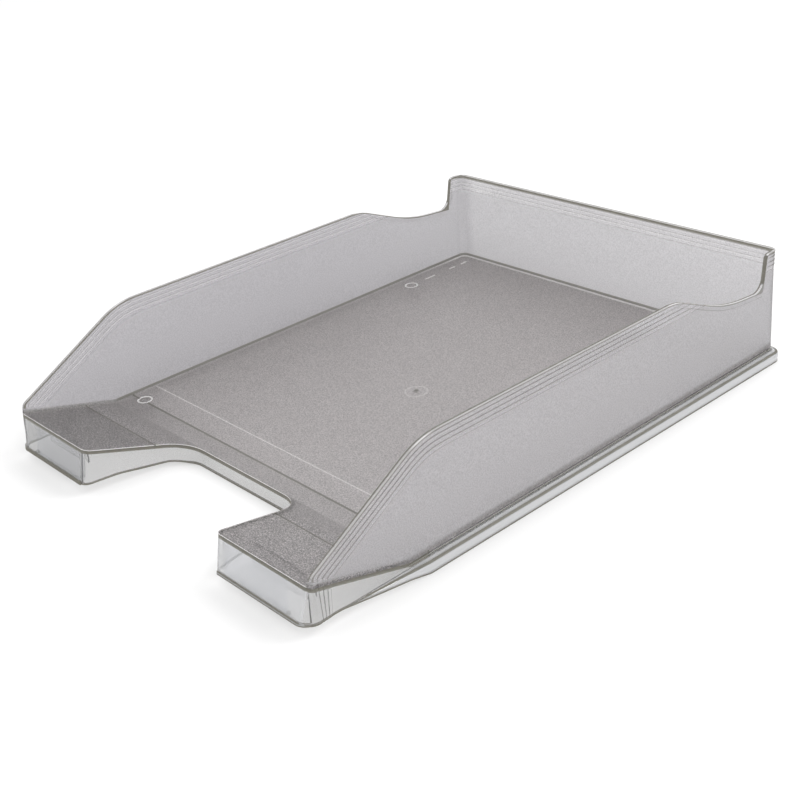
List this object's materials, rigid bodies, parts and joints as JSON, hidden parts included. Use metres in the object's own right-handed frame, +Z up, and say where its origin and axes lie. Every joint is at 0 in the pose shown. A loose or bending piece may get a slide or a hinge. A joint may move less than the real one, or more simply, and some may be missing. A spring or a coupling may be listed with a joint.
{
  "type": "letter tray",
  "caption": "Stackable letter tray for A4 and C4 paper: translucent moulded body with sloping sides, a front hand cut-out, stacking notches, slide-in label strips and round feet.",
  "frame": {"origin": "middle of the footprint, on the plane that the tray stands on", "axes": "+X to the right-hand wall, +Y from the open loading front to the back wall, +Z up"},
  "size_m": [0.255, 0.345, 0.066],
  "materials": {
    "smoke_polystyrene": "translucent grey, fine frosted grain on floor, ramps and walls, polished on the front panes, skirt and front edge",
    "clear_strip": "clear polished strip",
    "soft_stud": "soft translucent elastomer, matte"
  },
  "bodies": {
    "tray": {"tray_body": "smoke_polystyrene", "foot_front_left": "soft_stud", "foot_front_right": "soft_stud", "foot_rear_left": "soft_stud", "foot_rear_right": "soft_stud"},
    "label_left": {"label_insert_left": "clear_strip"},
    "label_right": {"label_insert_right": "clear_strip"}
  },
  "joints": [
    {"name": "label_slide_left", "type": "slide", "parent": "tray", "child": "label_left", "axis": [0, -0.205, -0.9788], "range_m": [0, 0.013]},
    {"name": "label_slide_right", "type": "slide", "parent": "tray", "child": "label_right", "axis": [0, -0.205, -0.9788], "range_m": [0, 0.013]}
  ]
}
